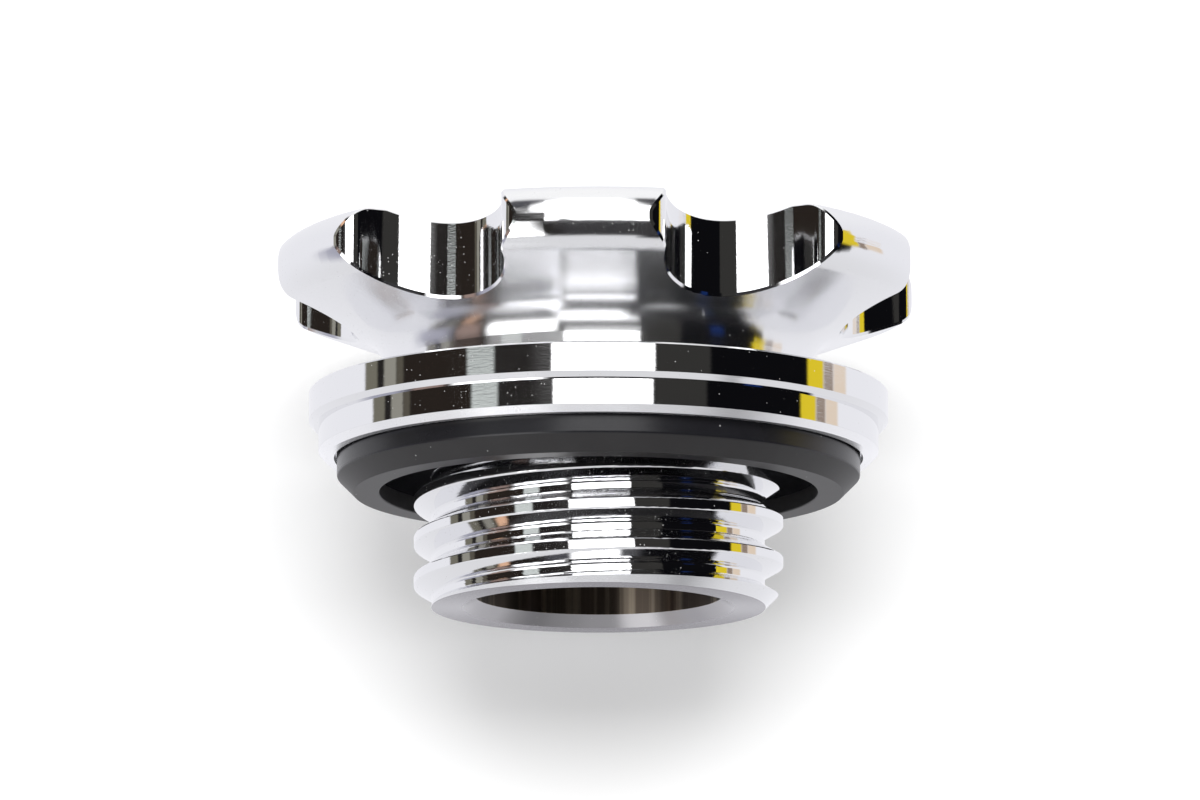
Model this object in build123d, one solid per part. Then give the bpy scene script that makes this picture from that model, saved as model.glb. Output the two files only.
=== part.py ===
from build123d import *
import os
from math import ceil, radians, tan

# Oil filler cap: a turned and polished metal cap with a six-lobed knob, and a black sealing ring.
# Millimetres, +Z up through the knob. The origin is on the axis, in the plane of the seal's face,
# which is the plane that the filler neck meets. The threaded shank hangs below it.

# Threaded shank
thread_diameter = 32.0
thread_pitch = 3.5
thread_crest_flat = 0.85
thread_root_flat = 0.8
thread_crest_fillet = 0.3
thread_root_fillet = 0.25
thread_flank_angle = 30.0
thread_shoulder_slope = 8.0
thread_start_angle = 136.8
shank_drop = 10.0
lead_chamfer = 1.56
relief_below_root = 0.2
relief_length = 3.2

# Blind bore in the shank
shank_wall = 5.3
bore_depth = 20.0
bore_chamfer = 1.07

# Sealing ring
seal_thread_gap = 3.0
seal_width = 3.69
seal_thickness = 5.0
seal_bevel = 1.45

# Stepped flange
recess_clearance = 0.26
recess_depth = 2.0
lip_width = 1.35
lip_chamfer = 0.6
lower_band_height = 2.8
band_step = 0.85
band_chamfer = 0.46
upper_band_height = 2.97
flange_edge_chamfer = 0.15

# Neck and knob
neck_diameter = 37.2
neck_height = 4.19
neck_fillet = 3.0
neck_foot_fillet = 0.8
cone_angle = 20.3
knob_diameter = 57.4
rim_lower_radius = 2.6
rim_upper_radius = 2.7
rim_land = 0.5
crest_land = 1.25
crest_fillet = 1.0
dish_angle = 18.0
dish_floor_diameter = 33.0
dish_fillet = 4.0

# Finger scallops round the knob
lobe_count = 6
scallop_neck_gap = 2.42
scallop_centre_inset = 0.2
lobe_corner_radius = 1.9
lobe_overshoot = 0.03
scallop_edge_break = 0.15
cutter_margin = 2.0

# Radii that follow from the sizes above
thread_radius = thread_diameter / 2
flank_width = (thread_pitch - thread_crest_flat - thread_root_flat) / 2
root_radius = thread_radius - flank_width / tan(radians(thread_flank_angle))
relief_radius = root_radius - relief_below_root
bore_radius = thread_radius - shank_wall
seal_inner_radius = thread_radius + seal_thread_gap
seal_outer_radius = seal_inner_radius + seal_width
recess_radius = seal_outer_radius + recess_clearance
lower_band_radius = recess_radius + lip_width
upper_band_radius = lower_band_radius + band_step
neck_radius = neck_diameter / 2
knob_radius = knob_diameter / 2
crest_radius = knob_radius - rim_upper_radius - crest_land
dish_floor_radius = dish_floor_diameter / 2
scallop_centre = knob_radius - scallop_centre_inset
scallop_radius = scallop_centre - neck_radius - scallop_neck_gap

# Heights that follow from the sizes above
shank_end = -shank_drop
seat_height = seal_thickness
lip_height = seat_height - recess_depth
step_height = lip_height + lower_band_height
flange_top = step_height + upper_band_height
cone_start = flange_top + neck_height
rim_corner = cone_start + (knob_radius - neck_radius) * tan(radians(cone_angle))
rim_widest = rim_corner + rim_lower_radius * tan(radians(90 - cone_angle) / 2)
knob_top = rim_widest + rim_land + rim_upper_radius
dish_floor = knob_top - (crest_radius - dish_floor_radius) * tan(radians(dish_angle))
thread_end = seat_height - relief_length
thread_top = thread_end - (thread_radius - relief_radius)


def shank_outline():
    """Half section of the shank before it is threaded and bored."""
    return Plane.XZ * make_face(
        Polyline(
            (0, shank_end),
            (thread_radius - lead_chamfer, shank_end),
            (thread_radius, shank_end + lead_chamfer),
            (thread_radius, thread_top),
            (relief_radius, thread_end),
            (relief_radius, seat_height),
            (0, seat_height),
            close=True,
        )
    )


def upper_outline():
    """Half section of the flange, neck and knob, solid to the axis."""
    flange = Polyline(
        (0, seat_height),
        (recess_radius, seat_height),
        (recess_radius, lip_height),
        (lower_band_radius - lip_chamfer, lip_height),
        (lower_band_radius, lip_height + lip_chamfer),
        (lower_band_radius, step_height),
        (upper_band_radius - band_chamfer, step_height),
        (upper_band_radius, step_height + band_chamfer),
        (upper_band_radius, flange_top - flange_edge_chamfer),
        (upper_band_radius - flange_edge_chamfer, flange_top),
    )
    knob = FilletPolyline(
        (upper_band_radius - flange_edge_chamfer, flange_top),
        (neck_radius, flange_top),
        (neck_radius, cone_start),
        (knob_radius, rim_corner),
        (knob_radius, knob_top),
        (crest_radius, knob_top),
        (dish_floor_radius, dish_floor),
        (0, dish_floor),
        radius=[neck_foot_fillet, neck_fillet, rim_lower_radius, rim_upper_radius, crest_fillet, dish_fillet],
    )
    axis_line = Line((0, dish_floor), (0, seat_height))
    return Plane.XZ * make_face([flange, knob, axis_line])


def bore_outline():
    """Half section of the blind bore, with the chamfer at its mouth."""
    mouth = bore_radius + bore_chamfer
    floor = shank_end + bore_depth
    return Plane.XZ * make_face(
        Polyline(
            (0, shank_end),
            (mouth, shank_end),
            (bore_radius, shank_end + bore_chamfer),
            (bore_radius, floor),
            (0, floor),
            close=True,
        )
    )


def groove_turn():
    """One turn of the thread's groove, rounded at its root and at the crests on each side."""
    root_half = thread_root_flat / 2
    crest_half = root_half + flank_width
    shoulder_half = crest_half + thread_crest_flat / 4
    shoulder = thread_radius + thread_crest_flat / 4 * tan(radians(thread_shoulder_slope))
    outside = thread_radius + thread_crest_fillet
    lower_edge = FilletPolyline(
        (outside, -shoulder_half),
        (shoulder, -shoulder_half),
        (thread_radius, -crest_half),
        (root_radius, -root_half),
        (root_radius, 0),
        radius=[0, thread_crest_fillet, thread_root_fillet],
    )
    upper_edge = mirror(lower_edge, Plane.XZ)
    mouth = Line((outside, shoulder_half), (outside, -shoulder_half))
    start = shank_end - thread_pitch / 2
    section = Plane.XZ * Pos(0, start) * make_face([lower_edge, upper_edge, mouth])
    path = Helix(pitch=thread_pitch, height=thread_pitch, radius=root_radius, center=(0, 0, start))
    return Rot(0, 0, thread_start_angle + 180) * sweep(section, path=path, is_frenet=True)


def threaded_shank():
    """The shank with its groove cut turn by turn, from below its end up into the relief."""
    shank = revolve(shank_outline(), Axis.Z)
    turn = groove_turn()
    for i in range(ceil((thread_end - shank_end) / thread_pitch + 1)):
        shank -= Pos(0, 0, thread_pitch * i) * turn
    return shank


def scallops():
    """The metal outside the lobed outline, from the neck up past the knob's top."""
    rim = knob_radius + lobe_overshoot
    lobe_angle = 360 / lobe_count
    scallop = Pos(scallop_centre, 0) * Circle(scallop_radius)
    lobed = Circle(rim) - [Rot(0, 0, lobe_angle * i) * scallop for i in range(lobe_count)]
    lobed = fillet(lobed.vertices(), lobe_corner_radius)
    ring = Rot(0, 0, lobe_angle / 2 - 90) * (Circle(rim + cutter_margin) - lobed)
    start = flange_top + neck_height / 2
    return Pos(0, 0, start) * extrude(ring, knob_top + cutter_margin - start)


def scalloped_knob():
    """The turned flange, neck and knob with the scallops milled and their sharp edges broken."""
    body = revolve(upper_outline(), Axis.Z) - scallops()
    upright = body.faces().filter_by(GeomType.CYLINDER)
    walls = [face for face in upright if round(face.radius, 3) in (round(scallop_radius, 3), lobe_corner_radius)]
    rims = [edge for wall in walls for edge in wall.edges() if edge.geom_type != GeomType.LINE]
    return body.chamfer(scallop_edge_break, None, rims)


def cap_body():
    body = scalloped_knob() + threaded_shank()
    body -= revolve(bore_outline(), Axis.Z)
    return body


def seal_ring():
    """A square-backed ring with a bevelled outer edge, face down at the origin's plane."""
    section = Polyline(
        (seal_inner_radius, 0),
        (seal_outer_radius - seal_bevel, 0),
        (seal_outer_radius, seal_bevel),
        (seal_outer_radius, seat_height),
        (seal_inner_radius, seat_height),
        close=True,
    )
    return revolve(Plane.XZ * make_face(section), Axis.Z)


parts = {
    "cap_body": cap_body(),
    "seal_ring": seal_ring(),
}

os.makedirs("parts", exist_ok=True)
for name, solid in parts.items():
    export_step(solid, f"parts/{name}.step")
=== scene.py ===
from math import cos, pi, radians, sin, tan

import bpy
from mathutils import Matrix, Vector


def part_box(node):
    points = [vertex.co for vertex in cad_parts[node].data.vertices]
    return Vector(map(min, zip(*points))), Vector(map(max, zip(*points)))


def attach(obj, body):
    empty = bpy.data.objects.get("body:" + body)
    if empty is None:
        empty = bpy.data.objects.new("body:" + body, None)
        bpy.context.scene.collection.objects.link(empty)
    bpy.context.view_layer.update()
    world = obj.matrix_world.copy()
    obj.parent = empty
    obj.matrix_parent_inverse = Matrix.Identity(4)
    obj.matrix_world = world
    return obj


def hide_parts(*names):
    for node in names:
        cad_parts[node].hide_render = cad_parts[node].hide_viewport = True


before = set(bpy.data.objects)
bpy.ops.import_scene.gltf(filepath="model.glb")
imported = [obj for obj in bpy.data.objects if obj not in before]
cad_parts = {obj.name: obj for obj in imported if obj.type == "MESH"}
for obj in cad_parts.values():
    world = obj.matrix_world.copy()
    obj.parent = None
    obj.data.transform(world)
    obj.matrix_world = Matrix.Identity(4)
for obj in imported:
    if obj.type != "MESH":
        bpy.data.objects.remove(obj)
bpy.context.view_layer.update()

# A polished oil filler cap and its black seal, in the studio that the metal mirrors. Lengths are
# metres and angles degrees. The cap stands on +Z, with the origin on its axis in the seal's face.
MM = 0.001

# The camera was solved from the cap's circles in the photograph, which looks up from a little below.
# The card behind the cap, the lamp and the studio share its heading.
CAMERA_HEADING = 2.7
CAMERA_PITCH = 10.3
CAMERA_DISTANCE = 636 * MM
CAMERA_HEIGHT = -107.3 * MM
CAMERA_SIDESTEP = 0.13 * MM
CAMERA_FOCAL_PIXELS = 7437.6
PHOTO_WIDTH_PIXELS = 1200
SENSOR_WIDTH = 36.0

heading = radians(CAMERA_HEADING)
FORWARD = Vector((-sin(heading), cos(heading), 0))
RIGHT = Vector((cos(heading), sin(heading), 0))
UP = Vector((0, 0, 1))

# Heights and radii that the frame gives
cap_low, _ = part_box("cap_body")
_, seal_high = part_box("seal_ring")
SHANK_END = cap_low.z
SEAL_RADIUS = seal_high.x
SEAL_TOP = seal_high.z

# The other heights and radii that bound a finish, from the part's own sizes
LIP_HEIGHT = SEAL_TOP - 2.0 * MM
LIP_CHAMFER = 0.58 * MM
LEAD_RADIUS = 14.44 * MM
BORE_RADIUS = 10.7 * MM
BORE_TOP = 12 * MM
MOUTH_WIDTH = 1.06 * MM
MOUTH_DEPTH = 1.1 * MM
COLLAR_LOW = 8.6 * MM
COLLAR_HIGH = 16.4 * MM
COLLAR_RADIUS = 20.0 * MM
KNOB_LOW = 9 * MM
SEAL_BEVEL_TOP = 1.4 * MM

# How wide the line between two finishes is, and a hair that keeps a finish off the next face
EDGE = 0.04 * MM
HAIR = 0.01 * MM

# The turning lines on the metal, the bumps that all grain is made of, and the stage's cards
LINE_SPACING = 0.12 * MM
LINES_AROUND = 30.0
BUMP_HEIGHT = 0.05 * MM
STAGE_SIZE = 3.0

# What the metal mirrors, as cards on the sky round it, each over those before it. Azimuth is counted
# from the camera towards its right.
STUDIO_CARDS = (
    # name, azimuth from and to, elevation from and to, soft sides, soft ends, colour
    ("dark side of the room", -104, 97, -52, 52, 6, 12, (0.020, 0.018, 0.017, 1)),
    ("black floor, right", 20, 97, -60, 66, 6, 12, (0.004, 0.004, 0.005, 1)),
    ("grey flag, far left", -105.5, -98, 2, 36, 2, 6, (0.18, 0.17, 0.135, 1)),
    ("grey flag, left", -94, -87, 2, 36, 2, 6, (0.30, 0.29, 0.25, 1)),
    ("dim card, left", -87, -83, 2, 36, 2, 6, (0.10, 0.09, 0.07, 1)),
    ("lavender fade, left", -112, -86, -34, 4, 16, 10, (0.42, 0.42, 0.50, 1)),
    ("brown shade", -83, -53, 4, 40, 3, 8, (0.022, 0.017, 0.014, 1)),
    ("low pale card, far left", -112, -60, -78, -26, 10, 10, (0.85, 0.85, 0.87, 1)),
    ("warm strip", -82, -66, -40, 4, 6, 8, (0.33, 0.24, 0.21, 1)),
    ("pale strip", -53, -41.5, -40, 11.1, 2, 0.6, (0.66, 0.70, 0.68, 1)),
    ("white card, low left", -61, -23, -50, 3.0, 8, 3, (2.8, 2.8, 2.8, 1)),
    ("grey card, right", 22, 44.8, -30, 40, 2, 8, (0.036, 0.035, 0.033, 1)),
    ("grey under the softbox", -14, 28, -50, 3, 8, 6, (0.045, 0.044, 0.046, 1)),
    ("yellow strip", 91, 100.4, 0, 22, 2, 8, (0.78, 0.60, 0.03, 1)),
    ("brown strip", 100.4, 106.8, 0, 11.1, 2.5, 0.6, (0.30, 0.23, 0.18, 1)),
    ("cream strip", 106.8, 115.5, 2, 11.1, 2.5, 0.6, (0.80, 0.66, 0.52, 1)),
    ("blue lamp", 62, 70, -18, 0, 3, 6, (0.010, 0.028, 0.12, 1)),
    ("warm lamp", -84, -76, 28, 46, 3, 6, (0.9, 0.55, 0.36, 1)),
    ("softbox edge, left", -46, -24, 32, 62, 14, 14, (0.09, 0.09, 0.10, 1)),
    ("softbox edge, right", 14, 34, 34, 62, 14, 14, (0.10, 0.10, 0.105, 1)),
    ("softbox", -24, 16, 20, 60, 10, 22, (3.0, 3.0, 3.0, 1)),
    ("softbox foot", -18.2, 22.0, 4.0, 34, 1.2, 1.5, (3.0, 3.0, 3.0, 1)),
)


class Nodes:
    """Adds shader nodes to one tree, and links each to what it is given."""

    def __init__(self, tree):
        self.tree = tree
        self.tree.nodes.clear()

    def add(self, kind, **settings):
        node = self.tree.nodes.new("ShaderNode" + kind)
        for name, value in settings.items():
            setattr(node, name, value)
        return node

    def put(self, socket, value):
        if isinstance(value, bpy.types.NodeSocket):
            self.tree.links.new(value, socket)
        elif value is not None:
            socket.default_value = value

    def math(self, operation, first, second=None):
        node = self.add("Math", operation=operation)
        self.put(node.inputs[0], first)
        self.put(node.inputs[1], second)
        return node.outputs[0]

    def vector(self, operation, first, second=None):
        node = self.add("VectorMath", operation=operation)
        self.put(node.inputs[0], first)
        self.put(node.inputs[1], second)
        return node.outputs["Value" if operation in ("DOT_PRODUCT", "LENGTH") else "Vector"]

    def split(self, vector):
        node = self.add("SeparateXYZ")
        self.put(node.inputs[0], vector)
        return tuple(node.outputs)

    def join(self, *parts):
        node = self.add("CombineXYZ")
        for socket, part in zip(node.inputs, parts):
            self.put(socket, part)
        return node.outputs[0]

    def ramp(self, value, low, high, start=0.0, end=1.0):
        """Eases from start to end as value goes from low to high."""
        node = self.add("MapRange", interpolation_type="SMOOTHSTEP")
        for name, setting in (("Value", value), ("From Min", low), ("From Max", high),
                              ("To Min", start), ("To Max", end)):
            self.put(node.inputs[name], setting)
        return node.outputs["Result"]

    def window(self, value, low, high, soft):
        """One inside low to high, nothing outside, with edges that are soft wide."""
        rise = self.ramp(value, low - soft / 2, low + soft / 2)
        fall = self.ramp(value, high - soft / 2, high + soft / 2, 1.0, 0.0)
        return self.math("MULTIPLY", rise, fall)

    def mix(self, amount, first, second):
        """Mixes two colours. The node's sockets for colours come after those for other kinds."""
        node = self.add("Mix", data_type="RGBA")
        self.put(node.inputs["Factor"], amount)
        self.put(node.inputs[6], first)
        self.put(node.inputs[7], second)
        return node.outputs[2]

    def noise(self, vector, scale, detail=2.0, along=None):
        node = self.add("TexNoise", noise_dimensions="3D" if along is None else "4D")
        self.put(node.inputs["Vector"], vector)
        self.put(node.inputs["Scale"], scale)
        self.put(node.inputs["Detail"], detail)
        if along is not None:
            self.put(node.inputs["W"], along)
        return node.outputs["Fac"]

    def bump(self, height, strength):
        node = self.add("Bump")
        self.put(node.inputs["Strength"], strength)
        self.put(node.inputs["Distance"], BUMP_HEIGHT)
        self.put(node.inputs["Height"], height)
        return node.outputs[0]

    def specks(self, place, spacing, rarity, core, rim, strength=1.0):
        """Round specks, one in each cell of the spacing whose chance from 0 to 1 is over the rarity."""
        cells = self.add("TexVoronoi", feature="F1", distance="EUCLIDEAN")
        self.put(cells.inputs["Vector"], place)
        self.put(cells.inputs["Scale"], 1 / spacing)
        chance = self.add("SeparateColor")
        self.put(chance.inputs[0], cells.outputs["Color"])
        kept = self.math("GREATER_THAN", chance.outputs[0], rarity)
        return self.math("MULTIPLY", kept, self.ramp(cells.outputs["Distance"], core, rim, strength, 0.0))

    def blend(self, amount, first, second):
        """Mixes two shaders."""
        node = self.add("MixShader")
        for socket, value in zip(node.inputs, (amount, first, second)):
            self.put(socket, value)
        return node.outputs[0]

    def surface(self, shader):
        self.put(self.add("OutputMaterial").inputs["Surface"], shader)


def grey(level):
    return (level, level, level, 1.0)


def studio_world():
    """White to the camera. To the metal, the studio that its reflections show, card by card."""
    world = bpy.data.worlds.new("studio")
    bpy.context.scene.world = world
    world.use_nodes = True
    world.cycles.sampling_method = "NONE"
    n = Nodes(world.node_tree)
    direction = n.add("TexCoord").outputs["Generated"]
    across = n.vector("DOT_PRODUCT", direction, RIGHT)
    towards = n.vector("DOT_PRODUCT", direction, -FORWARD)
    height = n.vector("DOT_PRODUCT", direction, UP)
    azimuth = n.math("DEGREES", n.math("ARCTAN2", across, towards))
    elevation = n.math("DEGREES", n.math("ARCSINE", height))
    room = n.mix(n.ramp(elevation, -60, 10), (0.78, 0.78, 0.80, 1), (0.90, 0.90, 0.94, 1))
    room = n.mix(n.ramp(elevation, 20, 80), room, grey(1.05))
    for name, left, right, bottom, top, sides, ends, colour in STUDIO_CARDS:
        inside = n.math("MULTIPLY", n.window(azimuth, left, right, sides),
                        n.window(elevation, bottom, top, ends))
        room = n.mix(inside, room, colour)
        room.node.label = name
    path = n.add("LightPath")
    plain = n.mix(path.outputs["Is Glossy Ray"], grey(0.80), room)
    seen = n.mix(path.outputs["Is Camera Ray"], plain, grey(1.0))
    background = n.add("Background")
    n.put(background.inputs["Color"], seen)
    n.put(n.add("OutputWorld").inputs["Surface"], background.outputs[0])


def cap_zones(n, height, radius, upright):
    """A mask for each finish of the cap. upright is how far the face looks up, from -1 to 1."""
    rise = n.math("SUBTRACT", height, SHANK_END)
    level = n.math("ABSOLUTE", upright)
    zones = {}

    # The lead chamfer dips 45 degrees, so radius and rise grow together along it
    lead = n.window(n.math("SUBTRACT", radius, rise), LEAD_RADIUS - EDGE, LEAD_RADIUS + EDGE, EDGE)
    lead = n.math("MULTIPLY", lead, n.window(upright, -0.73, -0.68, 0.02))
    zones["end face"] = n.ramp(rise, HAIR, 2 * HAIR, 1.0, 0.0)
    zones["lip"] = n.math("MULTIPLY", n.window(height, LIP_HEIGHT - EDGE, LIP_HEIGHT + LIP_CHAMFER, EDGE),
                          n.ramp(radius, SEAL_RADIUS, SEAL_RADIUS + 0.1 * MM))
    zones["satin"] = n.math("MAXIMUM", n.math("MAXIMUM", lead, zones["end face"]), zones["lip"])

    inside = n.ramp(radius, BORE_RADIUS + HAIR, BORE_RADIUS + 3 * HAIR, 1.0, 0.0)
    zones["bore"] = n.math("MULTIPLY", inside, n.math("GREATER_THAN", BORE_TOP, height))
    zones["mouth"] = n.math("MULTIPLY",
                            n.window(radius, BORE_RADIUS + 2 * HAIR, BORE_RADIUS + MOUTH_WIDTH, 2 * HAIR),
                            n.ramp(rise, MOUTH_DEPTH, MOUTH_DEPTH + 0.1 * MM, 1.0, 0.0))

    # The collar is the neck and the knob's underside, without the scallops' upright walls
    neck = n.ramp(radius, COLLAR_RADIUS - 0.5 * MM, COLLAR_RADIUS + 0.5 * MM, 1.0, 0.0)
    turned = n.math("MAXIMUM", n.ramp(level, 0.3, 0.6), neck)
    zones["collar"] = n.math("MULTIPLY", n.window(height, COLLAR_LOW, COLLAR_HIGH, 0.2 * MM), turned)
    zones["knob"] = n.math("MULTIPLY", n.ramp(height, KNOB_LOW, KNOB_LOW + 1 * MM), n.ramp(level, 0.01, 0.08))
    return zones


def turning_lines(n, around, height, radius):
    """Fine lines that run round the axis and change fast along it and outwards."""
    x, y, _ = n.split(around)
    place = n.join(n.math("MULTIPLY", x, LINES_AROUND), n.math("MULTIPLY", y, LINES_AROUND),
                   n.math("MULTIPLY", height, 1 / LINE_SPACING))
    return n.noise(place, 1.0, 3.0, n.math("MULTIPLY", radius, 1 / LINE_SPACING))


def polished_metal(material):
    """Bright polish with fine turning lines, dust, and satin on the chamfers, lip and shank's end."""
    n = Nodes(material.node_tree)
    place = n.add("TexCoord").outputs["Object"]
    x, y, height = n.split(place)
    outwards = n.join(x, y)
    radius = n.vector("LENGTH", outwards)
    around = n.vector("NORMALIZE", outwards)
    upright = n.split(n.add("NewGeometry").outputs["Normal"])[2]
    zones = cap_zones(n, height, radius, upright)

    # Bare metal, paler on the lip, and streaked brown down the bore. The shank's end face is painted dark
    # grey, a painted reflection of the cap's shadow on the card behind, and the bore's mouth is a mid grey
    streaks = n.ramp(n.noise(around, 9.0, 4.0), 0.45, 0.75)
    bored = n.mix(streaks, (0.10, 0.08, 0.065, 1), (0.42, 0.36, 0.28, 1))
    colour = n.mix(zones["lip"], (0.87, 0.872, 0.885, 1), (0.97, 0.97, 0.985, 1))
    # Painted reflection: the end face is dark grey for the cap's shadow on the card behind, which the metal
    # does not mirror
    colour = n.mix(zones["end face"], colour, (0.25, 0.24, 0.26, 1))
    colour = n.mix(zones["mouth"], colour, (0.52, 0.51, 0.525, 1))
    colour = n.mix(zones["bore"], colour, bored)
    roughness = n.ramp(zones["collar"], 0, 1, n.ramp(zones["knob"], 0, 1, 0.045, 0.085), 0.15)
    roughness = n.ramp(zones["satin"], 0, 1, roughness, 0.22)
    roughness = n.ramp(n.math("MAXIMUM", zones["mouth"], zones["bore"]), 0, 1, roughness, 0.35)

    # The polish blurs reflections along the axis and outwards, not round it
    shader = n.add("BsdfPrincipled")
    n.put(shader.inputs["Base Color"], colour)
    n.put(shader.inputs["Metallic"], 1.0)
    n.put(shader.inputs["Roughness"], roughness)
    n.put(shader.inputs["Anisotropic"], 1.0)
    n.put(shader.inputs["Anisotropic Rotation"], 0.25)
    n.put(shader.inputs["Tangent"], n.add("Tangent", direction_type="RADIAL", axis="Z").outputs[0])
    n.put(shader.inputs["Normal"], n.bump(turning_lines(n, around, height, radius), 0.045))

    # Dust lies in patches on the left, thinly on the right, and not in the bore
    patches = n.ramp(n.noise(place, 1 / (9 * MM)), 0.3, 0.6, 0.93, 0.45)
    rarity = n.math("MAXIMUM", n.ramp(x, -4 * MM, 8 * MM, 0.0, 0.95), patches)
    specks = n.specks(place, 0.36 * MM, rarity, 0.05, 0.18, 0.9)
    specks = n.math("MULTIPLY", specks, n.math("SUBTRACT", 1.0, zones["bore"]))
    dust = n.add("BsdfDiffuse")
    n.put(dust.inputs["Color"], grey(0.7))
    n.surface(n.blend(specks, shader.outputs[0], dust.outputs[0]))


def seal_rubber(material):
    """Black moulded rubber with fine grain and dust. Its wall is glossier than its bevel, and is painted a
    darker black while its face and bevel are painted a paler one, as painted shade and light.
    """
    n = Nodes(material.node_tree)
    place = n.add("TexCoord").outputs["Object"]
    _, _, height = n.split(place)
    wall = n.ramp(height, SEAL_BEVEL_TOP - 0.1 * MM, SEAL_BEVEL_TOP + 0.1 * MM)
    mottle = n.noise(place, 1 / (3 * MM), 4.0)
    # Painted light and shade: the face and bevel get a paler black and the wall a darker one, for how light
    # falls on them
    face = n.mix(mottle, (0.014, 0.013, 0.014, 1), (0.024, 0.023, 0.024, 1))
    side = n.mix(mottle, (0.008, 0.008, 0.010, 1), (0.015, 0.015, 0.018, 1))
    specks = n.specks(place, 0.7 * MM, 0.9, 0.08, 0.13)
    shader = n.add("BsdfPrincipled")
    n.put(shader.inputs["Base Color"], n.mix(specks, n.mix(wall, face, side), grey(0.35)))
    n.put(shader.inputs["Roughness"], n.ramp(wall, 0, 1, 0.45, 0.27))
    n.put(shader.inputs["Specular IOR Level"], 0.36)
    n.put(shader.inputs["Normal"], n.bump(n.noise(place, 1 / (0.15 * MM), 3.0), 0.08))
    n.surface(shader.outputs[0])


def stage_pale(material):
    """Pale and a little bright from its front, and nothing from its back."""
    n = Nodes(material.node_tree)
    pale = n.add("BsdfDiffuse")
    n.put(pale.inputs["Color"], grey(0.80))
    glow = n.add("Emission")
    n.put(glow.inputs["Color"], grey(1.0))
    n.put(glow.inputs["Strength"], 0.16)
    both = n.add("AddShader")
    n.put(both.inputs[0], pale.outputs[0])
    n.put(both.inputs[1], glow.outputs[0])
    behind = n.add("NewGeometry").outputs["Backfacing"]
    n.surface(n.blend(behind, both.outputs[0], n.add("BsdfTransparent").outputs[0]))


def new_material(name, make):
    material = bpy.data.materials.new(name)
    material.use_nodes = True
    make(material)
    return material


def new_mesh(name, points, faces):
    mesh = bpy.data.meshes.new(name)
    mesh.from_pydata(points, [], faces)
    return add_to_scene(name, mesh)


def add_to_scene(name, data):
    thing = bpy.data.objects.new(name, data)
    bpy.context.scene.collection.objects.link(thing)
    return thing


def finish_cap():
    material = new_material("cap_body_finish", polished_metal)
    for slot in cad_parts["cap_body"].material_slots:
        slot.material = material


def rounded(corners, radii, steps=8):
    """A closed outline with each corner rounded, and a guard point beside each arc for clean shading."""
    outline = []
    for i, (corner, radius) in enumerate(zip(corners, radii)):
        here = Vector(corner)
        before = (Vector(corners[i - 1]) - here).normalized()
        after = (Vector(corners[(i + 1) % len(corners)]) - here).normalized()
        half = before.angle(after) / 2
        reach = radius / tan(half)
        centre = here + (before + after).normalized() * radius / sin(half)
        start, end = here + before * reach - centre, here + after * reach - centre
        outline.append(here + before * (reach + radius / 4))
        for k in range(steps + 1):
            outline.append(centre + start.slerp(end, k / steps).normalized() * radius)
        outline.append(here + after * (reach + radius / 4))
    return outline


def lathe(name, outline, segments=256):
    """A smooth ring turned about the axis from an outline of radius and height."""
    points, faces = [], []
    count = len(outline)
    for i in range(segments):
        turn = 2 * pi * i / segments
        points.extend((r * cos(turn), r * sin(turn), z) for r, z in outline)
        near, far = i * count, (i + 1) % segments * count
        faces.extend((near + j, far + j, far + (j + 1) % count, near + (j + 1) % count) for j in range(count))
    ring = new_mesh(name, points, faces)
    ring.data.shade_smooth()
    return ring


def add_seal():
    """The seal with its moulded, softly rounded edges, sized from the CAD ring that it stands for."""
    points = [(vertex.co.xy.length, vertex.co.z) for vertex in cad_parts["seal_ring"].data.vertices]
    outer = max(r for r, z in points)
    inner = min(r for r, z in points)
    low, high = min(z for r, z in points), max(z for r, z in points)
    bevel_inner = max(r for r, z in points if z < low + EDGE)
    bevel_top = min(z for r, z in points if r > outer - EDGE)
    corners = [(inner, low), (bevel_inner, low), (outer, bevel_top), (outer, high), (inner, high)]
    radii = [0.12 * MM, 0.10 * MM, 0.30 * MM, 0.10 * MM, 0.10 * MM]
    ring = lathe("seal", rounded(corners, radii))
    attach(ring, "root")
    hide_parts("seal_ring")
    ring.data.materials.append(new_material("seal_finish", seal_rubber))


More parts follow.
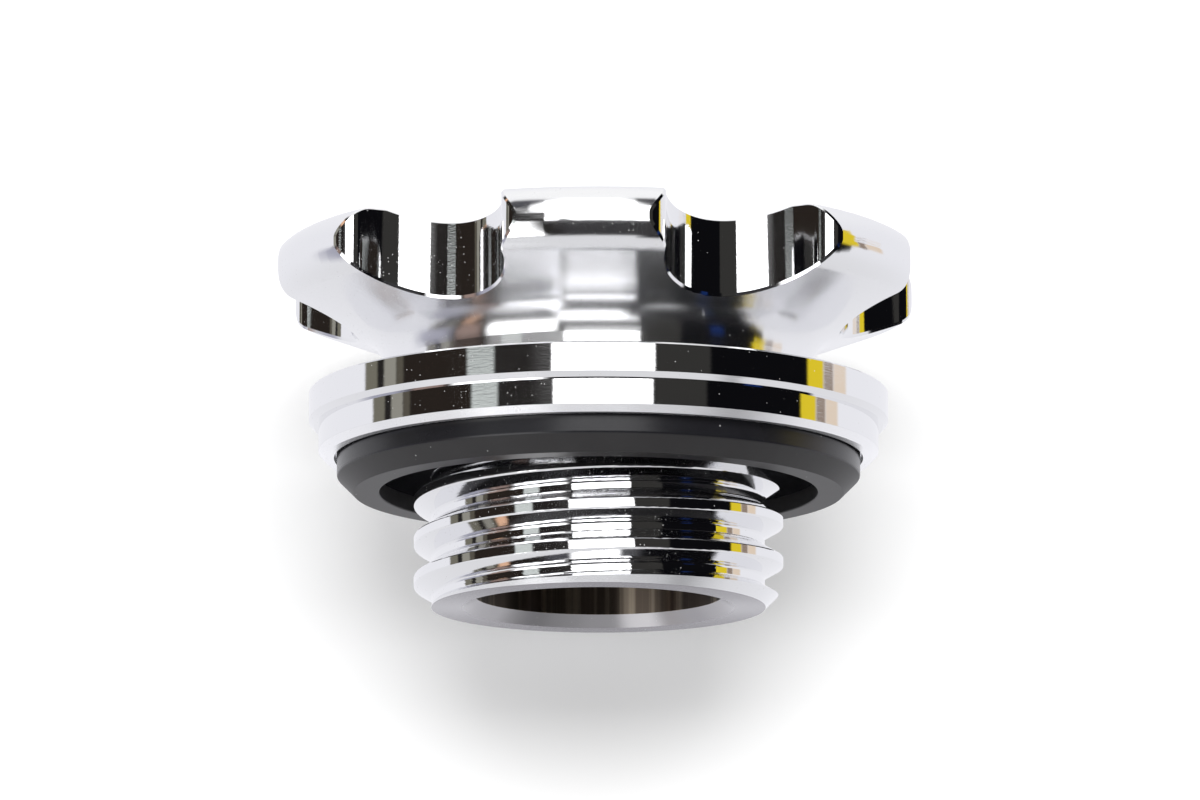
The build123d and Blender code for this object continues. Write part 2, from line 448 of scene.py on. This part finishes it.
def add_camera():
    camera = add_to_scene("camera", bpy.data.cameras.new("camera"))
    camera.data.sensor_width = SENSOR_WIDTH
    camera.data.lens = CAMERA_FOCAL_PIXELS / PHOTO_WIDTH_PIXELS * SENSOR_WIDTH
    camera.location = RIGHT * CAMERA_SIDESTEP - FORWARD * CAMERA_DISTANCE + UP * CAMERA_HEIGHT
    pitch = radians(CAMERA_PITCH)
    gaze = FORWARD * cos(pitch) + UP * sin(pitch)
    camera.rotation_mode = "QUATERNION"
    camera.rotation_quaternion = gaze.to_track_quat("-Z", "Y")
    bpy.context.scene.camera = camera


def stage_card(name, centre, facing):
    """A pale card that only the camera sees, from its front. It takes the cap's soft shadow."""
    turn = facing.to_track_quat("Z", "Y")
    reach = STAGE_SIZE / 2
    corners = [(-1, -1), (1, -1), (1, 1), (-1, 1)]
    points = [centre + turn @ Vector((x * reach, y * reach, 0)) for x, y in corners]
    card = new_mesh(name, points, [(0, 1, 2, 3)])
    card.data.materials.append(new_material(name, stage_pale))
    card.visible_diffuse = False
    card.visible_glossy = False
    card.visible_transmission = False
    card.visible_shadow = False


def add_stage():
    """The floor, and a card behind that leans back and all but touches the far side of the knob."""
    lean = radians(16.4)
    card_facing = -FORWARD * cos(lean) + UP * sin(lean)
    touch = FORWARD * 28.8 * MM + UP * 18.3 * MM
    stage_card("card_behind", touch, card_facing)
    stage_card("floor", Vector((0, 0, SHANK_END)), UP)


def add_lamp():
    """A soft lamp above the camera, for the rubber and the shadow. The metal mirrors the cards instead."""
    azimuth, elevation, distance = radians(2), radians(20), 0.7
    away = (-FORWARD * cos(azimuth) + RIGHT * sin(azimuth)) * cos(elevation) + UP * sin(elevation)
    lamp = add_to_scene("softbox", bpy.data.lights.new("softbox", "AREA"))
    lamp.data.shape = "RECTANGLE"
    lamp.data.size = 0.5
    lamp.data.size_y = 0.26
    lamp.data.energy = 3.4
    lamp.location = away * distance
    lamp.rotation_mode = "QUATERNION"
    lamp.rotation_quaternion = (-away).to_track_quat("-Z", "Y")
    lamp.visible_glossy = False
    lamp.visible_camera = False


finish_cap()
add_seal()
studio_world()
add_lamp()
add_stage()
add_camera()
bpy.context.scene.view_settings.view_transform = "Standard"
